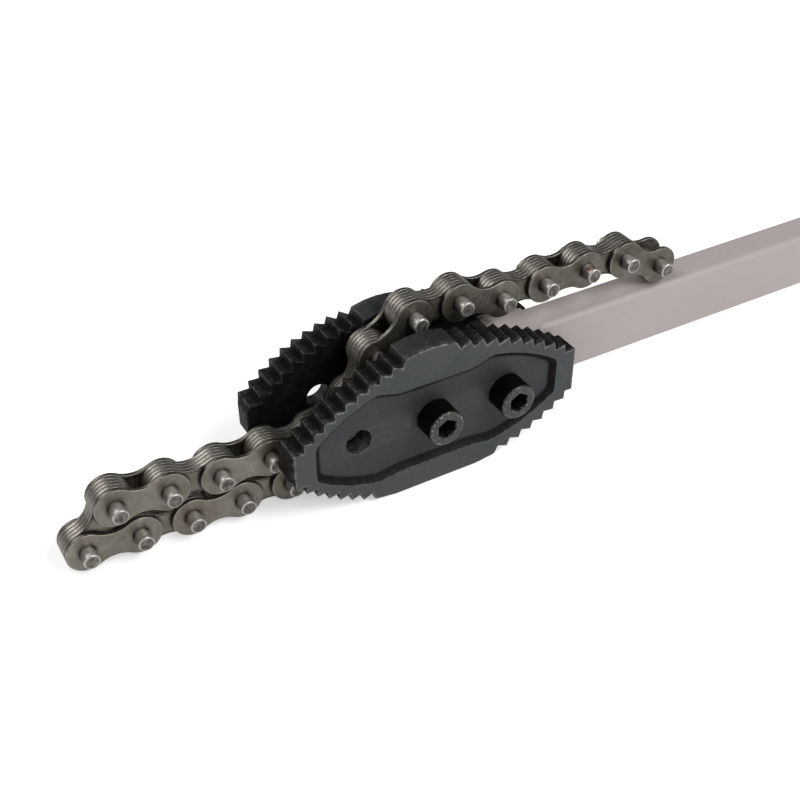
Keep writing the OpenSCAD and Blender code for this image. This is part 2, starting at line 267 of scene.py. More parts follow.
# %% [markdown]
# The bar is sprayed with a matt beige-grey paint, and the head between the jaws stays black. Two
# materials could do that, but the solid has no edge where the paint ends. So one material has a ramp
# along the bar, made uneven by noise. The paint has a fine orange-peel bump, a slow drift in tone and a
# few faint rub marks along its length.

# %% handle paint
PAINT_FROM, PAINT_EDGE = 50 * MM, 4 * MM


def handle_paint():
    f = Finish("handle paint")
    grain = f.noise(1500.0, 2.0)
    rubs = f.noise(60.0, 5.0, stretch=(0.05, 1.0, 1.0))
    tone = f.blend(f.ramp(f.noise(9.0, 3.0), 0.36, 0.64), (0.37, 0.328, 0.315), (0.4, 0.362, 0.338))
    tone = f.blend(f.ramp(f.noise(30.0, 4.0), 0.3, 0.7, 0.0, 0.4), tone, (0.355, 0.315, 0.31))
    tone = f.blend(f.ramp(rubs, 0.62, 0.8, 0.0, 0.2), tone, (0.43, 0.39, 0.372))
    tone = f.blend(f.ramp(f.noise(380.0, 2.0), 0.66, 0.74, 0.0, 0.25), tone, (0.3, 0.27, 0.25))
    along = f.add("ShaderNodeSeparateXYZ", {"Vector": f.place}).outputs["X"]
    along = f.math("ADD", along, f.ramp(f.noise(120.0, 4.0), 0.3, 0.7, -PAINT_EDGE, PAINT_EDGE))
    start = MID[0] + PAINT_FROM
    painted = f.ramp(along, start - PAINT_EDGE, start + PAINT_EDGE)
    tone = f.blend(painted, (0.012, 0.011, 0.01), tone)
    peel = f.bump(f.noise(700.0, 1.0), 0.00006)
    peel = f.bump(grain, 0.00002, onto=peel)
    shine = f.ramp(painted, 0.0, 1.0, 0.15, 0.45)
    rough = f.ramp(grain, 0.3, 0.7, 0.5, 0.62)
    return f.done(Base_Color=tone, Roughness=rough, Specular_IOR_Level=shine, Normal=peel)


PAINT = handle_paint()
print(PAINT.name, len(PAINT.node_tree.nodes), "nodes")

# %% [markdown]
# The jaws are forged and blacked. Their faces are a dull slate with a fine pale speckle, while the
# teeth keep a darker, browner scale. The grime look carries that scale, and it also paints shade near
# black on the inner faces, down the bores and on the recess wall. Two materials would meet in a hard
# line, so one material blends by the value at each point. Rubbed edges let a little steel through, and
# on the outer edges that pale tone is partly a painted highlight.

# %% jaw black
def jaw_black():
    f = Finish("jaw black")
    cloud = f.noise(30.0, 4.0, 0.6)
    speck = f.noise(1300.0, 2.0, 0.7)
    scale = f.noise(300.0, 4.0, 0.6)
    tone = f.blend(f.ramp(cloud, 0.35, 0.66), (0.0175, 0.0215, 0.0232), (0.03, 0.034, 0.0365))
    tone = f.blend(f.ramp(speck, 0.6, 0.78, 0.0, 0.45), tone, (0.1, 0.103, 0.104))
    dark = f.blend(f.ramp(scale, 0.3, 0.7), (0.0035, 0.0031, 0.0032), (0.0095, 0.0083, 0.0084))
    # The near-black tone is scale on the teeth, and painted shade on the inner faces, down the bores and on
    # the recess wall.
    grime_and_shade = f.look("grime_and_shade")
    tone = f.blend(grime_and_shade, tone, dark)
    # Rubbed edges turn pale, and on the outer edges this pale tone is partly a painted highlight.
    wear_and_highlight_patches = f.look("wear", f.ramp(f.noise(420.0, 4.0, 0.7), 0.38, 0.62))
    tone = f.blend(f.math("MULTIPLY", wear_and_highlight_patches, 0.8), tone, (0.22, 0.216, 0.212))
    shape = f.bump(scale, 0.00016)
    shape = f.bump(speck, 0.00006, onto=shape)
    rough, shine = f.ramp(scale, 0.3, 0.7, 0.42, 0.58), f.ramp(grime_and_shade, 0.0, 1.0, 0.5, 0.05)
    return f.done(Base_Color=tone, Roughness=rough, Specular_IOR_Level=shine, Normal=shape)


JAW = jaw_black()
print(JAW.name, len(JAW.node_tree.nodes), "nodes")

# %% [markdown]
# Chain plates are stamped from dull steel with a thin oily film. Grime lies in cloudy patches, and oil
# with painted shade lies round the pins and between the plates. The cut edges are pale from wear and a
# painted highlight, and rust shows in places. A coat layer could be the oil, but the film is thin and
# dirty, so a darker tone of the metal is closer.

# %% chain steel
RUST = (0.085, 0.04, 0.022)


def chain_steel():
    f = Finish("chain steel")
    cloud = f.noise(70.0, 5.0, 0.65)
    patch = f.noise(260.0, 5.0, 0.7)
    grain = f.noise(1100.0, 3.0, 0.65)
    tone = f.blend(f.ramp(cloud, 0.34, 0.66), (0.145, 0.132, 0.109), (0.265, 0.248, 0.213))
    tone = f.blend(f.ramp(f.noise(33.0, 3.0), 0.45, 0.7, 0.0, 0.5), tone, (0.165, 0.134, 0.104))
    tone = f.blend(f.ramp(grain, 0.35, 0.7, 0.0, 0.35), tone, (0.085, 0.08, 0.069))
    tone = f.blend(f.ramp(patch, 0.6, 0.75, 0.0, 0.6), tone, (0.05, 0.043, 0.035))
    # Oil, and painted shade round the pins, between the plates and along the chain's tail, darken the
    # steel.
    tone = f.blend(f.look("grime_and_shade", f.ramp(patch, 0.3, 0.6, 0.55, 1.0)), tone, (0.016, 0.013, 0.0095))
    bright = f.ramp(f.noise(500.0, 3.0, 0.6), 0.3, 0.6, 0.1, 0.7)
    # Worn edges turn pale, and along the plate edges this pale line is partly a painted highlight.
    tone = f.blend(f.look("wear", bright), tone, (0.42, 0.4, 0.365))
    tone = f.blend(f.look("stain", f.ramp(f.noise(700.0, 3.0), 0.35, 0.6)), tone, RUST)
    rough = f.ramp(cloud, 0.3, 0.7, 0.46, 0.34)
    return f.done(Base_Color=tone, Metallic=0.85, Roughness=rough, Normal=f.bump(grain, 0.00005))


PLATE = chain_steel()
print(PLATE.name, len(PLATE.node_tree.nodes), "nodes")

# %% [markdown]
# The pins are bare turned steel, brighter than the plates. A highlight is painted along their upper
# side and shade along their lower side, and their foot is dark with oil and painted shade. Fine turning
# marks run round them. They could be cut as grooves, but noise that changes quickly along the pin and
# slowly round it gives the same glint with no extra points.

# %% pin steel
def pin_steel():
    f = Finish("pin steel")
    cloud = f.noise(160.0, 5.0, 0.65)
    patch = f.noise(420.0, 4.0, 0.7)
    turned = f.noise(1400.0, 3.0, 0.6, stretch=(0.25, 2.0, 0.25))
    tone = f.blend(f.ramp(cloud, 0.3, 0.7), (0.28, 0.262, 0.232), (0.45, 0.428, 0.39))
    tone = f.blend(f.ramp(patch, 0.58, 0.74, 0.0, 0.55), tone, (0.06, 0.047, 0.035))
    # Oil and painted shade darken the pins' lower sides and feet.
    tone = f.blend(f.look("grime_and_shade", f.ramp(patch, 0.3, 0.6, 0.5, 1.0)), tone, (0.02, 0.016, 0.011))
    bright = f.ramp(f.noise(600.0, 3.0, 0.6), 0.3, 0.5, 0.2, 0.85)
    # A painted highlight brightens the pins' upper sides, and real rubbing their chamfers.
    tone = f.blend(f.look("wear", bright), tone, (0.5, 0.482, 0.45))
    tone = f.blend(f.look("stain", f.ramp(f.noise(900.0, 3.0), 0.35, 0.55)), tone, (0.16, 0.035, 0.026))
    rough = f.ramp(turned, 0.3, 0.7, 0.34, 0.48)
    return f.done(Base_Color=tone, Metallic=0.7, Roughness=rough, Normal=f.bump(turned, 0.00004))


PIN = pin_steel()
print(PIN.name, len(PIN.node_tree.nodes), "nodes")

# %% [markdown]
# Screws and nuts are black oxide, smoother than the jaws, and their corners are speckled bright where
# the oxide has chipped. Painted shade turns the heads' sides and the sockets near black. A smooth fade
# would look like dust, so a steep ramp over fine noise breaks the wear into specks.

# %% screw black
def screw_black():
    f = Finish("screw black")
    cloud = f.noise(420.0, 4.0, 0.65)
    tone = f.blend(f.ramp(cloud, 0.35, 0.68), (0.01, 0.01, 0.0098), (0.034, 0.0335, 0.031))
    # Painted shade turns the screw heads' sides and the sockets near black.
    grime_and_shade = f.look("grime_and_shade")
    tone = f.blend(grime_and_shade, tone, (0.002, 0.002, 0.002))
    wear_and_highlight_patches = f.look("wear", f.ramp(f.noise(900.0, 3.0, 0.7), 0.54, 0.66))
    tone = f.blend(wear_and_highlight_patches, tone, (0.36, 0.35, 0.33))
    shape = f.bump(f.noise(1300.0, 3.0, 0.6), 0.00005)
    rough, shine = f.ramp(cloud, 0.3, 0.7, 0.4, 0.52), f.ramp(grime_and_shade, 0.0, 1.0, 0.5, 0.03)
    return f.done(Base_Color=tone, Roughness=rough, Specular_IOR_Level=shine, Normal=shape)


SCREW = screw_black()
print(SCREW.name, len(SCREW.node_tree.nodes), "nodes")

# %% [markdown]
# ## Chain plates
# A plate is stamped as a closed outline of two round ends and two hollow waists, all arcs that run into
# each other. It could be joined from two discs and a bar. As arcs it can be moved inwards by changing
# only the radii, and so the rounded edge is a stack of such outlines.

# %% plate outline
PLATE_R, WAIST, PLATE_T = 10.2 * MM, 6.6 * MM, 2.1 * MM
PACK_STEP, SIDE_Y = 2.3 * MM, 5.9 * MM
HOLLOW_R = (PITCH**2 / 4 + WAIST**2 - PLATE_R**2) / (2 * (PLATE_R - WAIST))
LEAN = math.atan2(WAIST + HOLLOW_R, PITCH / 2)
print("plate mm", round((PITCH + 2 * PLATE_R) / MM, 2), "hollow radius mm", round(HOLLOW_R / MM, 2))


def plate_loop(inset):
    """Outline moved inwards by inset: the ends shrink and the hollows grow, about the same centres."""
    end = np.linspace(-(math.pi - LEAN), math.pi - LEAN, 30)
    dip = np.linspace(math.pi / 2 - LEAN, -(math.pi / 2 - LEAN), 12)[1:-1]
    r, h = PLATE_R - inset, HOLLOW_R + inset
    right = np.c_[PITCH + r * np.cos(end), r * np.sin(end)]
    top = np.c_[PITCH / 2 + h * np.sin(dip), WAIST + HOLLOW_R - h * np.cos(dip)]
    left = np.c_[-r * np.cos(end), -r * np.sin(end)]
    return np.vstack([right, top, left, [PITCH, 0] - top])


def circle(cx, cz, r, count=32):
    """A closed ring of points round cx, cz: centre + r * (cos a, sin a)."""
    a = np.linspace(0, 2 * math.pi, count, endpoint=False)
    return np.c_[cx + r * np.cos(a), cz + r * np.sin(a)]


def at_depth(loop, y):
    """A flat loop of (u, v) points stood at depth y: (u, y, v)."""
    return np.c_[loop[:, 0], np.full(len(loop), y), loop[:, 1]]

# %% [markdown]
# Outer plates show their whole face, with oil and painted shade in a ring round each pin. Plates of a
# pack lie under round neighbours, and oil that has crept out from under them, with a painted contact
# shadow, darkens a band along their edges, so only the middle of the face is clean. Faces that lie
# against other plates are dark with oil and painted shade. Noise alone can't put this darkening there,
# so both kinds of face have loops of points along its border.

# %% plate faces
# The dark rings and bands are oil together with painted shade round the pins and along the edges of
# neighbouring plates.
OIL_AND_SHADE_R, OIL_AND_SHADE_FADE, SEAM, OIL_AND_SHADOW_WIDTH = 6 * MM, 1.2 * MM, 0.1 * MM, 1.4 * MM
OIL_AND_SHADOW_REACH, CLEAN_REACH = 5.6 * MM, 5 * MM
print("clean middle mm", round((PITCH - 2 * (PLATE_R + OIL_AND_SHADOW_WIDTH)) / MM, 2))


def between(r, reach):
    """The ground between two round neighbours: farther than r from both pins, v up to reach each way."""
    v = np.linspace(-reach, reach, 16)
    u = np.sqrt(r**2 - v**2)
    return np.vstack([np.c_[u, v], np.c_[PITCH - u, v][::-1]])


def open_face(y, rim, hole, oil_and_shade):
    """A face that is seen whole, with oil and painted shade all over as given, and more of both in a ring
    round each hole.
    """
    loops = [rim, circle(0, 0, OIL_AND_SHADE_R), circle(PITCH, 0, OIL_AND_SHADE_R)]
    parts = [flat(*[at_depth(loop, y) for loop in loops], look=(0, oil_and_shade, 0))]
    for u in (0, PITCH):
        rows = np.stack([at_depth(circle(u, 0, r), y) for r in (OIL_AND_SHADE_R, OIL_AND_SHADE_R - OIL_AND_SHADE_FADE, hole)])
        parts.append(skin(rows, [(0, oil_and_shade), (0, max(oil_and_shade, 0.35)), (0, 0.9)]))
    return parts


def covered_face(y, rim, hole, oil_and_shade):
    """A face with a round neighbour lying on each end, and oil with a painted contact shadow along their
    edges.
    """
    oil_and_shadow_edge, clean = between(PLATE_R + SEAM, OIL_AND_SHADOW_REACH), between(PLATE_R + OIL_AND_SHADOW_WIDTH, CLEAN_REACH)
    loops = [rim, circle(0, 0, hole), circle(PITCH, 0, hole), oil_and_shadow_edge]
    oil_and_shadow_band = skin(np.stack([at_depth(oil_and_shadow_edge, y), at_depth(clean, y)]), [(0, oil_and_shade), (0, 0)])
    hidden = flat(*[at_depth(loop, y) for loop in loops], look=(0, oil_and_shade, 0))
    return [hidden, oil_and_shadow_band, flat(at_depth(clean, y))]

# %% [markdown]
# The edge of a stamped plate is rounded by tumbling and use. A Bevel modifier could make it, but then
# all of the edge would look the same. Rings through a quarter turn give each step of the edge its own
# wear with painted highlight and its own painted shade. Two faces and two bores close the plate.

# %% one plate
BEND = np.radians([0, 30, 60, 90])
# Down the plate edge, the wear lists mix real wear with a painted highlight on the rounded corners, and the
# other lists are painted shade on the side and in the gaps between packed plates.
CORNER_WEAR_AND_HIGHLIGHT, SIDE_SHADE = (0, 0.3, 0.9, 0.5, 0.1), (0, 0, 0.1, 0.5, 0.75)
PACKED_WEAR_AND_HIGHLIGHT, GROOVE_SHADE = (0, 0, 0.2, 0.8, 0.3), (0, 0.9, 0.95, 0.25, 0.3)


def plate(wear, grime_and_shade, faces, edge=0.32 * MM, hole=PIN_R + 0.04 * MM):
    """One chain plate round y = 0, drawn along +u from its first pin at (0, 0), with its faces as given.
    Its edge is a quarter turn of rings: edge * (1 - sin) in and edge * (1 - cos) deep. Their wear with
    painted highlight and their painted shade are listed from the face to the middle of the side."""
    inset = edge * (1 - np.sin(BEND))
    depth = -PLATE_T / 2 + edge * (1 - np.cos(BEND))
    margin = edge + 0.5 * MM
    insets = np.concatenate([[margin], inset, inset[::-1], [margin]])
    depths = np.concatenate([[depth[0]], depth, -depth[::-1], [-depth[0]]])
    look = np.c_[wear, grime_and_shade]
    rows = np.stack([at_depth(plate_loop(i), y) for i, y in zip(insets, depths)])
    parts = [skin(rows, np.vstack([look, look[::-1]]))]
    for y, (face, oil_and_shade) in zip((-PLATE_T / 2, PLATE_T / 2), faces):
        parts += face(y, plate_loop(margin), hole, oil_and_shade)
    for u in (0, PITCH):
        wall = np.stack([at_depth(circle(u, 0, hole), y) for y in (-PLATE_T / 2, PLATE_T / 2)])
        parts.append(skin(wall, [(0, 1), (0, 1)]))
    return join(*parts)


OUTER_PLATE = plate(CORNER_WEAR_AND_HIGHLIGHT, SIDE_SHADE, [(open_face, 0), (open_face, 0.95)])
PACK_PLATE = plate(PACKED_WEAR_AND_HIGHLIGHT, GROOVE_SHADE, [(covered_face, 0.95)] * 2)
print("plate points", len(OUTER_PLATE[0]))

# %% [markdown]
# An inner link is a pack of four plates, and an outer link has one plate on each side of the packs. All
# are copies of one plate, moved in depth and turned into the link's direction. Linked copies with a
# rotation could do it too, but a finished piece has to lie unturned at the origin, so the points are
# turned.

# %% links
PACK = 4
RUSTY, RUST_REACH, RUST_FADE = 4, 6.2 * MM, 1.4
# From link TAIL on, the plates get painted shade.
TAIL, TAIL_SHADE = 12, 0.45


def link(k, one_plate, depths):
    """Plates at the given depths, carried to link k: point = pin + u * direction + v * its normal. Plates
    on the far side are mirrored, so that inner faces face each other. Rust spreads round one pin, and
    the tail gets painted shade."""
    points, faces, look = one_plate
    along, up = DIRS[k], np.array([-DIRS[k][1], DIRS[k][0]])
    spot = PINS[k] + points[:, [0]] * along + points[:, [2]] * up
    rust = np.clip(RUST_FADE - np.linalg.norm(spot - PINS[RUSTY], axis=1) / RUST_REACH, 0, 1)
    look = np.c_[look[:, 0], np.maximum(look[:, 1], TAIL_SHADE * (k >= TAIL)), rust]
    made = []
    for y in depths:
        made.append((np.c_[spot[:, 0], y - np.sign(y) * points[:, 1], spot[:, 1]], faces, look))
    return join(*made)


pack_depths = (np.arange(PACK) - (PACK - 1) / 2) * PACK_STEP
for k in range(len(DIRS)):
    number = "%02d" % (k // 2 + 1)
    inner = k % 2 == 0
    node = ("inner_link_" if inner else "outer_link_") + number
    plates = link(k, PACK_PLATE, pack_depths) if inner else link(k, OUTER_PLATE, (-SIDE_Y, SIDE_Y))
    name = ("plate_pack_" if inner else "plate_pair_") + number
    piece(name, plates, PLATE, "link_%02d" % (k + 1), node, slot="chain_steel")
print("links made", k + 1)

# %% [markdown]
# ## Pins
# A pin is riveted into the outer plates, and its long ends stand out on both sides. It is a profile
# turned about its own axis: a flat end with a slight dish, a chamfer rubbed bright, and a plain shank.
# A Screw modifier could turn the profile, but the looks change round the pin as well, so the rings are
# made here.

# %% turned pins
def turned(profile, count=40):
    """Revolves (radius, depth) pairs about the depth axis and returns rings of points."""
    a = np.linspace(0, 2 * math.pi, count, endpoint=False)
    r, y = np.asarray(profile, float).T
    return np.stack([r[:, None] * np.cos(a), np.repeat(y[:, None], count, 1), r[:, None] * np.sin(a)], -1)


PIN_END = np.array([[0.02, 0.1], [2.0, 0.08], [2.9, 0.0], [3.35, 0.0], [3.62, 0.1], [3.86, 0.36],
                    [4.0, 0.7], [4.0, 2.2], [4.0, 3.6], [4.0, 5.4], [4.0, 6.9]]) * MM
PIN_WEAR = np.array([0, 0, 0, 0.3, 0.9, 0.9, 0.4, 0.25, 0.25, 0.1, 0])
# The ends are darkened, and the foot is dark with oil and painted shade where it meets the plate.
PIN_GRIME_AND_SHADE = np.array([0.9, 0.9, 0.85, 0.45, 0, 0, 0, 0, 0.05, 0.3, 0.9])
# Along the shank a painted highlight lies on the side facing up and painted shade on the side facing down;
# these rows say how strongly, and the angle and gains below place and scale both.
SIDE_SHADING = np.array([0, 0, 0, 0, 0, 0.3, 0.8, 1, 1, 1, 1])
LIT_SIDE = np.radians(98)
HIGHLIGHT_FROM, HIGHLIGHT_GAIN, SHADE_FROM, SHADE_GAIN = 0.6, 1.8, 0.95, 0.85
DAB = np.array([0, 0, 0, 0, 0, 0, 0, 1, 1, 0, 0]) * 0.9


def chain_pin(at, dab=False):
    """A pin along y through the point at, its two ends alike. A painted highlight, kept in the wear look,
    grows where it faces up towards the light, and painted shade, kept in the grime look, where it faces
    away. A dab of red marks the upper side of one near end."""
    half = tail_high[1]
    front = np.c_[PIN_END[:, 0], -half + PIN_END[:, 1]]
    rows = turned(np.vstack([front, (front * [1, -1])[::-1]]))
    look = np.c_[PIN_WEAR, PIN_GRIME_AND_SHADE, DAB * dab][:, None] * np.ones((1, rows.shape[1], 1))
    u, v = rows[: len(look), :, 0], rows[: len(look), :, 2]
    facing = (u * math.cos(LIT_SIDE) + v * math.sin(LIT_SIDE)) / PIN_R
    # Painted highlight on the upper side, painted shade on the lower side.
    look[:, :, 0] += SIDE_SHADING[:, None] * np.clip(facing - HIGHLIGHT_FROM, 0, 1) * HIGHLIGHT_GAIN
    look[:, :, 1] += SIDE_SHADING[:, None] * np.clip(SHADE_FROM - facing, 0, 1) * SHADE_GAIN
    look[:, :, 2] *= np.clip(v / PIN_R + 0.2, 0, 1)
    points, faces, look = skin(rows, np.concatenate([look, look[::-1] * [1, 1, 0]]))
    return points + np.array([at[0], 0, at[1]]), faces, look


MARKED = 18
for i in range(len(DIRS) // 2):
    first, second = 2 * i + 1, 2 * i + 2
    pair = join(chain_pin(PINS[first]), chain_pin(PINS[second], second == MARKED))
    name = "%02d" % (i + 1)
    piece("rivets_" + name, pair, PIN, "link_%02d" % second, "link_pins_" + name, slot="pin_steel")
piece("anchor_rivet", chain_pin(PINS[0]), PIN, "wrench", "anchor_pin", slot="pin_steel")
print("pins made", len(PINS))

# %% [markdown]
# ## Jaw plates
# The jaws bite the pipe with leaning teeth on four arcs. The outline follows the solid. The solid
# itself could be kept, but its corners are sharp and its recess has an upright wall, so the jaw is
# built anew. First come the arcs and the teeth on them.

# %% toothed arcs
REAR_X, FRONT_X = jaw_high[0] - MID[0], MID[0] - jaw_low[0]
TOP_Z, LOW_Z = jaw_high[2] - MID[2], MID[2] - jaw_low[2]
RIM_Y, INNER_Y, FLOOR_Y = -jaw_low[1], -jaw_high[1], -jaw_low[1] - 3 * MM
BULGE, DEPTH, LEAN_SHARE = 0.058, 3.6 * MM, 0.4
print("jaw ends mm", round(REAR_X / MM, 1), round(FRONT_X / MM, 1))


def arc(p0, p1, t, inset=0.0):
    """Points at shares t of the arc from p0 to p1, which bulges to the right, moved in by inset."""
    p0, p1 = np.asarray(p0), np.asarray(p1)
    chord = p1 - p0
    span = math.hypot(*chord)
    radius = span * (1 + 4 * BULGE**2) / (8 * BULGE)
    centre = (p0 + p1) / 2 - np.array([chord[1], -chord[0]]) / span * (radius - BULGE * span)
    a0, a1 = (math.atan2(*(p - centre)[::-1]) for p in (p0, p1))
    a = a0 + (a1 - a0) * np.asarray(t)
    return centre + ((radius - inset) * np.array([np.cos(a), np.sin(a)])).T


def toothed(p0, p1, count):
    """Tips and roots by turns, and 1 at the tips: a tip at each whole step, a root before the next."""
    root = np.tile([0, 1], count)
    t = (np.repeat(np.arange(count), 2) + root * (1 - LEAN_SHARE)) / count
    return np.vstack([arc(p0, p1, t, root * DEPTH), p1]), np.append(1 - root, 0.5)


def cornered(x, z, p1, count):
    """A toothed stretch whose first tooth rises from the corner x, z of an end flat."""
    points, tips = toothed([x - DEPTH / 2, z + DEPTH], p1, count)
    return np.vstack([[x, z], points]), np.append(0.5, tips)

# %% [markdown]
# The four quarters are drawn as if each were the upper rear one and then flipped into place, because
# they differ only in a few heights. One long list of points could do it too, but would hide that. The
# plain top between the teeth is arched a little, as on the real tool.

# %% jaw outline
def flipped(quarter, x, z):
    """A quarter mirrored by the signs x and z, and turned round where the whole would run two ways."""
    turn = slice(None, None, x * z)
    return (quarter[0] * [x, z])[turn], quarter[1][turn]


PLAIN_REAR, PLAIN_FRONT, CROWN = 10.5, 17, 1.9 * MM
REAR_TOP, REAR_LOW, FRONT_TOP, FRONT_LOW = 9 * MM, 12.6 * MM, 3.8 * MM, 9 * MM
# The pale edge of the plain stretches is partly a painted highlight.
UPPER_TEETH, LOWER_TEETH, PLAIN_WEAR_AND_HIGHLIGHT = 10, 7, 0.3
low_end, foot = np.array([34.5 * MM, LOW_Z - 1.6 * MM]), [[23 * MM, LOW_Z]]
top_rear = cornered(REAR_X, REAR_TOP, [PLAIN_REAR * MM, TOP_Z], UPPER_TEETH)
top_front = cornered(FRONT_X, FRONT_TOP, [PLAIN_FRONT * MM, TOP_Z], UPPER_TEETH)
lower = [cornered(FRONT_X, FRONT_LOW, low_end, LOWER_TEETH),
         toothed([REAR_X, REAR_LOW], low_end, LOWER_TEETH)]
low_front, low_rear = ((np.vstack([p, foot]), np.append(tips, PLAIN_WEAR_AND_HIGHLIGHT)) for p, tips in lower)
across = np.array([0.5, 0, -0.5])
middle, half = (PLAIN_REAR - PLAIN_FRONT) / 2, (PLAIN_REAR + PLAIN_FRONT) / 2
arch = np.c_[middle * MM + across * half * MM, TOP_Z + CROWN * (1 - across**2)]
crown = arch, np.full(len(arch), PLAIN_WEAR_AND_HIGHLIGHT)
quarters = [top_rear, crown, flipped(top_front, -1, 1)]
quarters += [flipped(low_front, -1, -1), flipped(low_rear, 1, -1)]
TEETH, TIPS = np.vstack([q[0] for q in quarters]), np.concatenate([q[1] for q in quarters])
print("jaw corners", len(TEETH), "of them tips", int((TIPS == 1).sum()))

# %% [markdown]
# The recess is a shallow pocket that leaves a raised rim all round. It is drawn in the same way, from
# plain arcs with a narrow middle. Moving the toothed outline inwards would be quicker, but its rim is
# wide at the ends and narrow at the sides.

# %% recess outline
RIM_END, WIDEST, WAIST_AT = 12.5 * MM, [32 * MM, 26.2 * MM], 20 * MM


def recess_quarter(x, z, waist):
    """A quarter of the recess: an arc from its end at x, z to its widest place, and its waist's corner."""
    side = arc([x - RIM_END, z], WIDEST, np.arange(7) / 6)
    points = np.vstack([side, [WAIST_AT, waist]])
    return points, np.zeros(len(points))


waist_top, waist_low = 22.6 * MM, 24.4 * MM
ends = [recess_quarter(REAR_X, 9.6 * MM, waist_top),
        flipped(recess_quarter(FRONT_X, 7 * MM, waist_top), -1, 1),
        flipped(recess_quarter(FRONT_X, 12.2 * MM, waist_low), -1, -1),
        flipped(recess_quarter(REAR_X, 9.6 * MM, waist_low), 1, -1)]
RECESS = np.vstack([q[0] for q in ends])
print("recess corners", len(RECESS), "length mm", round(float(np.ptp(RECESS[:, 0])) / MM, 1))

# %% [markdown]
# A forging has no sharp corner, so each corner becomes a short curve. Moving every edge inwards before
# that gives the smaller outlines from which rounded edges and sloped walls are stacked. A Bevel
# modifier would round all corners alike, while here the teeth and the recess each have their own size
# of curve.

# %% rounded and inset loops
def rounded(loop, reach, steps):
    """Each corner becomes a short curve: a quadratic from a point before it to a point after it."""
    before, after = np.roll(loop, 1, 0) - loop, np.roll(loop, -1, 0) - loop
    a = loop + before * (reach / np.linalg.norm(before, axis=1))[:, None]
    b = loop + after * (reach / np.linalg.norm(after, axis=1))[:, None]
    s = np.linspace(0, 1, steps)[None, :, None]
    curve = (1 - s) ** 2 * a[:, None] + 2 * s * (1 - s) * loop[:, None] + s**2 * b[:, None]
    return curve.reshape(-1, 2)


def inward(loop, inset):
    """Every edge moved inwards: corner + inset * (n0 + n1) / (1 + n0 . n1), n the inward normals."""
    edge = np.roll(loop, -1, 0) - loop
    normal = np.c_[-edge[:, 1], edge[:, 0]] / np.linalg.norm(edge, axis=1)[:, None]
    first = np.roll(normal, 1, 0)
    return loop + inset * (first + normal) / (1 + (first * normal).sum(1))[:, None]


BEVEL, BEVEL_DEEP = 1.7 * MM, 4 * MM
TOOTH_CURVE, TOOTH_STEPS, RECESS_CURVE, RECESS_STEPS = 0.4 * MM, 4, 2.4 * MM, 7


def jaw_ring(inset, y):
    """The toothed outline at depth y, cut back at the ends where the bevel of the outer corner runs."""
    loop = rounded(inward(TEETH, inset), TOOTH_CURVE, TOOTH_STEPS)
    back = BEVEL * max(0.0, 1 - (y + RIM_Y) / BEVEL_DEEP) + inset
    return at_depth(np.c_[np.clip(loop[:, 0], back - FRONT_X, REAR_X - back), loop[:, 1]], y)


def recess_ring(inset, depth):
    """The recess outline moved in by inset, at a depth below the outer face."""
    return at_depth(rounded(inward(RECESS, inset), RECESS_CURVE, RECESS_STEPS), depth - RIM_Y)


print("points in a jaw ring", len(jaw_ring(0.0, 0.0)), "in a recess ring", len(recess_ring(0.0, 0.0)))

# %% [markdown]
# The side wall carries the outline through the thickness, black with scale, and pale along the tooth
# tips and the outer edge from rubbing and from a painted highlight. The outer face steps down a sloped
# wall into the recess, and three holes go through; the wall and the bores are painted dark as shade,
# and the recess floor is a little darker than the rim. Boolean cuts could make the recess and the
# holes, but as rings they get worn rims and clean shading.

# %% one jaw
HOLES, HOLE_R, HOLE_POINTS = np.array([-41, 0, 41]) * MM, 6.75 * MM, 48
OUTER_MARGIN, INNER_MARGIN, NEARLY = 0.6 * MM, 1 * MM, 0.01 * MM
# The recess floor is a little darker than the rim, and the plain top has less scale than the teeth.
RECESS_FLOOR_DARK, PLAIN_GRIME = 0.3, 0.6
# The pale rubbed outer edge and tooth tips are partly a painted highlight.
EDGE_WEAR_AND_HIGHLIGHT = np.array([0, 0.6, 1, 0.9, 0.3, 0, 0, 0.15, 0.25, 0.1, 0])
TIP_SPREAD = [0.25, 1, 1, 0.25]
TIP_WEAR_AND_HIGHLIGHT = np.array([0, 0.3, 0.9, 0.9, 0.7, 0.55, 0.55, 0.6, 0.5, 0.2, 0])
SCALE = np.array([0, 0, 0.3, 0.8, 1, 1, 1, 1, 1, 1, 1])
# The recess wall is painted near black as shade, and the rim edge above it carries a painted highlight.
SLOPE = [(-0.5, 0, 0, 0), (0, 0.03, 0.4, 0.2), (0.2, 0.2, 0.1, 1), (2.2, 2.3, 0, 1), (2.9, 2.85, 0, 0.9),
         (4, 3, 0, RECESS_FLOOR_DARK)]


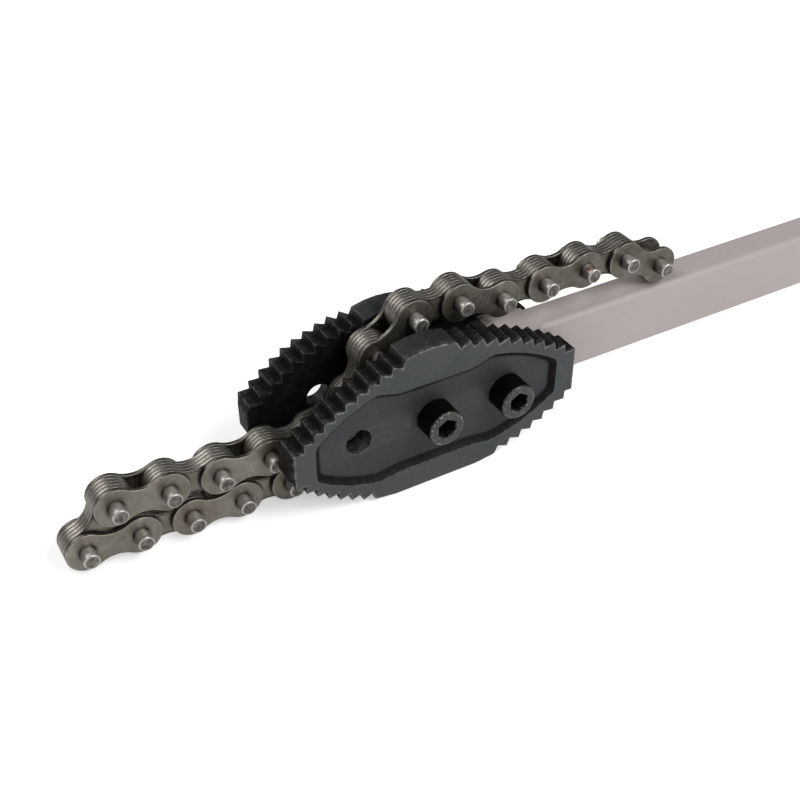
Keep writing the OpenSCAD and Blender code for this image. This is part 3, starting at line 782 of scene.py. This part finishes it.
def jaw(soft=0.5 * MM, thin=0.35 * MM):
    """The near jaw about the centre screw, outer face towards -y. Its side wall is a stack of outlines,
    from the outer face with an edge of radius soft to the inner one with an edge of radius thin. The
    recess wall is a stack of (inset, depth, wear and painted highlight, grime and painted shade), each
    bore one of (radius, depth, wear, grime and painted shade)."""
    outer, inner = soft * (1 - np.sin(BEND)), thin * (1 - np.sin(BEND[::-1]))
    inset = np.concatenate([[soft + OUTER_MARGIN], outer, [0], inner, [INNER_MARGIN]])
    near, far = -RIM_Y + soft * (1 - np.cos(BEND)), -INNER_Y - thin * (1 - np.cos(BEND[::-1]))
    depth = np.concatenate([[-RIM_Y], near, [BEVEL_DEEP - RIM_Y], far, [-INNER_Y]])
    tips = (TIPS[:, None] * TIP_SPREAD).ravel()
    plain = np.repeat(np.where(TEETH[:, 1] > TOP_Z - NEARLY, PLAIN_GRIME, 1), TOOTH_STEPS)
    wear = np.maximum(EDGE_WEAR_AND_HIGHLIGHT[:, None], TIP_WEAR_AND_HIGHLIGHT[:, None] * tips)
    side = np.stack([jaw_ring(i, y) for i, y in zip(inset, depth)])
    wall = np.stack([recess_ring(i * MM, d * MM) for i, d, _, _ in SLOPE])
    parts = [skin(side, np.stack([wear, SCALE[:, None] * plain], -1)), flat(side[0], wall[0])]
    parts.append(skin(wall, [row[2:] for row in SLOPE]))
    wide = HOLE_R + 0.5 * MM
    mouths = [[at_depth(circle(x, 0, wide, HOLE_POINTS), y) for x in HOLES] for y in (-FLOOR_Y, -INNER_Y)]
    parts.append(flat(wall[-1], *mouths[0], look=(0, RECESS_FLOOR_DARK, 0)))
    # The inner face is painted near black as shade.
    parts.append(flat(side[-1], *mouths[1], look=(0, 1, 0)))
    # The bores are painted dark inside as shade.
    bore = [(wide, -FLOOR_Y, 0.1, RECESS_FLOOR_DARK), (HOLE_R + 0.15 * MM, 0.1 * MM - FLOOR_Y, 0.7, 0.3),
            (HOLE_R, 0.5 * MM - FLOOR_Y, 0.3, 0.9), (HOLE_R, -INNER_Y - 0.5 * MM, 0, 1),
            (wide, -INNER_Y, 0, 1)]
    for x in HOLES:
        rows = np.stack([at_depth(circle(x, 0, r, HOLE_POINTS), y) for r, y, _, _ in bore])
        parts.append(skin(rows, [row[2:] for row in bore]))
    return join(*parts)


points, faces, look = jaw()
piece("jaw_near", (points + MID, faces, look), JAW, "wrench", "near_jaw", slot="jaw_black")
print("jaw points", len(points))

# %% [markdown]
# The far jaw is the mirror image. On the real tool it is lower at its plain top and a little longer at
# the front, so its points drift by a few millimetres, more towards the top edge and not at all near the
# holes. A Lattice modifier could bend it too, but values at stations along the jaw are easier to read.

# %% far jaw
DRIFT_FROM, DRIFT_BAND = 12 * MM, 13 * MM
STATIONS = np.array([-78, -55, -30, -17, 60, 83]) * MM
DRIFT_X = np.array([-2.2, 0, 1.6, 2.6, 0, 0]) * MM
DRIFT_Z = np.array([1.5, 1.5, -1, -4.4, -3.4, -2]) * MM
far = points * [1, -1, 1]
x, z = far[:, 0].copy(), far[:, 2].copy()
upper = np.clip((z - DRIFT_FROM) / DRIFT_BAND, 0, 1)
far[:, 0] += np.where(x < STATIONS[1], 1, upper) * np.interp(x, STATIONS, DRIFT_X)
far[:, 2] += upper * np.interp(x, STATIONS, DRIFT_Z)
piece("jaw_far", (far + MID, faces, look), JAW, "wrench", "far_jaw", slot="jaw_black")
print("largest drift mm", (np.abs(far - points * [1, -1, 1]).max(0) / MM).round(2))

# %% [markdown]
# ## Screws and nuts
# Socket-head cap screws and nuts hold the jaws to the head. Round and six-sided rings belong to one
# family: a radius that depends on the angle. So a screw head can run from round rings at its side to
# six-sided rings down the socket, and no Boolean cut is needed.

# %% rings by angle
ANGLES = np.linspace(0, 2 * math.pi, 96, endpoint=False)


def six_sided(half_width):
    """Distance from the centre to the side of a hexagon, at each angle."""
    return half_width / np.cos((ANGLES + math.pi / 6) % (math.pi / 3) - math.pi / 6)


def rings(radii, depths):
    """Rings of points round the depth axis: radii[i] is one number or a radius for each angle."""
    r = np.stack([np.broadcast_to(radius, ANGLES.shape) for radius in radii])
    y = np.repeat(np.asarray(depths)[:, None], len(ANGLES), 1)
    return np.stack([r * np.cos(ANGLES), y, r * np.sin(ANGLES)], -1)


def turned_rings(spec):
    """A skin over rings listed as (radius, depth, wear, grime and painted shade)."""
    return skin(rings([row[0] for row in spec], [row[1] for row in spec]), [row[2:] for row in spec])


print("points in a ring", len(ANGLES))

# %% [markdown]
# The screws are half-inch ones, with a head as tall as the shank is thick. Their threads are hidden, so
# the shanks are plain. Each is one list of rings, as it would be turned on a lathe, and each ring says
# how worn it is and how much painted shade it has, which darkens the head's side and the socket. One
# screw and one nut serve both places.

# %% screws and nuts
END_Y = FLOOR_Y + 12.7 * MM
SHANK_R, HEAD_R, SOCKET, NUT, NUT_TOP = 6.35 * MM, 9.525 * MM, 4.76 * MM, 9.525 * MM, FLOOR_Y + 11.1 * MM


def cap_screw():
    """Shank end, shank, head side, head face and six-sided socket, ring by ring from +y to -y."""
    hexa, face, seat = six_sided(SOCKET), -END_Y, -FLOOR_Y
    shank = [(0.02 * MM, END_Y, 0, 0), (SHANK_R - 1 * MM, END_Y, 0.2, 0),
             (SHANK_R, END_Y - 1 * MM, 0.3, 0), (SHANK_R, seat, 0, 0.5)]
    # The head's side is painted near black as shade in the last column.
    side = [(9.3 * MM, seat, 0, 1), (9.52 * MM, seat - 0.25 * MM, 0.1, 1), (HEAD_R, seat - 1 * MM, 0, 1),
            (HEAD_R, face + 1.2 * MM, 0, 0.95), (9.45 * MM, face + 0.8 * MM, 0.3, 0.6)]
    ring = [(8.85 * MM, face + 0.12 * MM, 1, 0), (8.4 * MM, face, 0.6, 0), (7.8 * MM, face, 0.1, 0),
            (hexa + 0.8 * MM, face, 0.1, 0), (hexa + 0.35 * MM, face, 0.7, 0)]
    # The socket is painted dark inside as shade.
    hollow = [(hexa, face + 0.45 * MM, 0.8, 0.2), (hexa, face + 1.2 * MM, 0.1, 0.9),
              (hexa, face + 7 * MM, 0, 1), (3.6 * MM, face + 7.4 * MM, 0, 1),
              (0.02 * MM, face + 8.6 * MM, 0, 1)]
    return turned_rings(shank + side + ring + hollow)


def hex_nut():
    """Six flats between two chamfered ends, with a plain bore, ring by ring and back to the first one."""
    hexa, bore, low, top = six_sided(NUT), SHANK_R + 0.02 * MM, FLOOR_Y, NUT_TOP
    cut_low, cut_top = np.minimum(hexa, 10.4 * MM), np.minimum(hexa, 10.2 * MM)
    spec = [(bore, low, 0, 0), (cut_low, low, 0.1, 0), (hexa, low + 0.5 * MM, 0.4, 0),
            (hexa, top - 1.2 * MM, 0.3, 0), (cut_top, top - 0.5 * MM, 0.9, 0), (9.2 * MM, top, 0.6, 0),
            (8.4 * MM, top, 0, 0), (7.1 * MM, top, 0.1, 0), (bore, top - 0.6 * MM, 0.4, 0),
            (bore, low, 0, 0)]
    return turned_rings(spec)


fasteners = ((cap_screw(), "cap_screw_", "_screw"), (hex_nut(), "hex_nut_", "_nut"))
for name, x in (("centre", HOLES[1]), ("rear", HOLES[2])):
    for (points, faces, look), label, node in fasteners:
        moved = points + (MID + np.array([x, 0, 0])), faces, look
        piece(label + name, moved, SCREW, "wrench", name + node, slot="screw_black")
print("points of a screw and a nut", [len(made[0]) for made, _, _ in fasteners])

# %% [markdown]
# ## Handle
# The bar and its head are one forging. It could be built anew like the jaws, but its solid already has
# the right shape, so it is kept and only takes the paint.

# %% handle
for material_slot in frame["nodes"]["handle"].material_slots:
    material_slot.material = PAINT
print("handle slots", len(frame["nodes"]["handle"].material_slots))

# %% [markdown]
# ## Floor and light
# The tool lies on plain white ground. A curved backdrop is usual in a studio, but a wide flat floor is
# enough. It glows a little to the camera and in reflections, more so where the lamps no longer reach,
# and it still takes the tool's shadow.

# %% floor
WIDE, UNDER = 8, -0.0004
GLOW_NEAR, GLOW_FAR, GLOW_MIRRORED = 0.45, 1.0, 0.32
corners = [(-WIDE, -WIDE, UNDER), (WIDE, -WIDE, UNDER), (WIDE, WIDE, UNDER), (-WIDE, WIDE, UNDER)]
ground = bpy.data.meshes.new("floor")
ground.from_pydata(corners, [], [(0, 1, 2, 3)])
floor = bpy.data.objects.new("floor", ground)
bpy.context.scene.collection.objects.link(floor)
white = Finish("floor white")
white.done(Base_Color=(0.86, 0.86, 0.86, 1), Roughness=0.9, Specular_IOR_Level=0.0)
rays = white.add("ShaderNodeLightPath")
away = white.add("ShaderNodeVectorMath", {0: white.place}, operation="LENGTH").outputs["Value"]
glow = white.ramp(away, 0.6, 1.3, GLOW_NEAR, GLOW_FAR)
lift = white.math("MULTIPLY", rays.outputs["Is Camera Ray"], glow)
lift = white.math("ADD", lift, white.math("MULTIPLY", rays.outputs["Is Glossy Ray"], GLOW_MIRRORED))
white.done(Emission_Color=(1, 1, 1, 1), Emission_Strength=lift)
ground.materials.append(white.material)
print("floor", 2 * WIDE, "m wide")

# %% [markdown]
# Soft light comes from large lamps. Three square area lamps stand round the tool: the key at the front
# right, a weak fill at the left, and one behind for the bright upper edges. A bright sky alone would be
# simpler, but it flattens the black jaws, so the sky is white to the camera and dim as a light.

# %% lamps and sky
def lamp(name, place, aim, power, size):
    """A square area lamp of a size in metres and a power in watts, turned towards a point."""
    light = bpy.data.lights.new(name, "AREA")
    light.energy, light.size = power, size
    made = bpy.data.objects.new(name, light)
    turn = (Vector(aim) - Vector(place)).to_track_quat("-Z", "Y")
    made.matrix_world = Matrix.Translation(place) @ turn.to_matrix().to_4x4()
    bpy.context.scene.collection.objects.link(made)


SKY_LIGHT = 0.14
target = tuple(MID)
lamp("key", (MID[0] + 0.55, -0.95, 1.05), target, 20, 0.9)
lamp("fill", (MID[0] - 1.1, -0.8, 0.85), target, 5, 1.2)
lamp("back", (MID[0] - 0.63, 1.11, 1.0), target, 14, 1.0)
sky = bpy.data.worlds.new("sky")
sky.use_nodes = True
bpy.context.scene.world = sky
paths = sky.node_tree.nodes.new("ShaderNodeLightPath")
level = sky.node_tree.nodes.new("ShaderNodeMapRange")
level.inputs["To Min"].default_value = SKY_LIGHT
sky.node_tree.links.new(paths.outputs["Is Camera Ray"], level.inputs["Value"])
sky.node_tree.links.new(level.outputs[0], sky.node_tree.nodes["Background"].inputs["Strength"])
sky.node_tree.nodes["Background"].inputs["Color"].default_value = (1, 1, 1, 1)
bpy.context.scene.view_settings.view_transform = "Standard"
print("lamps", [(light.name, light.energy) for light in bpy.data.lights])
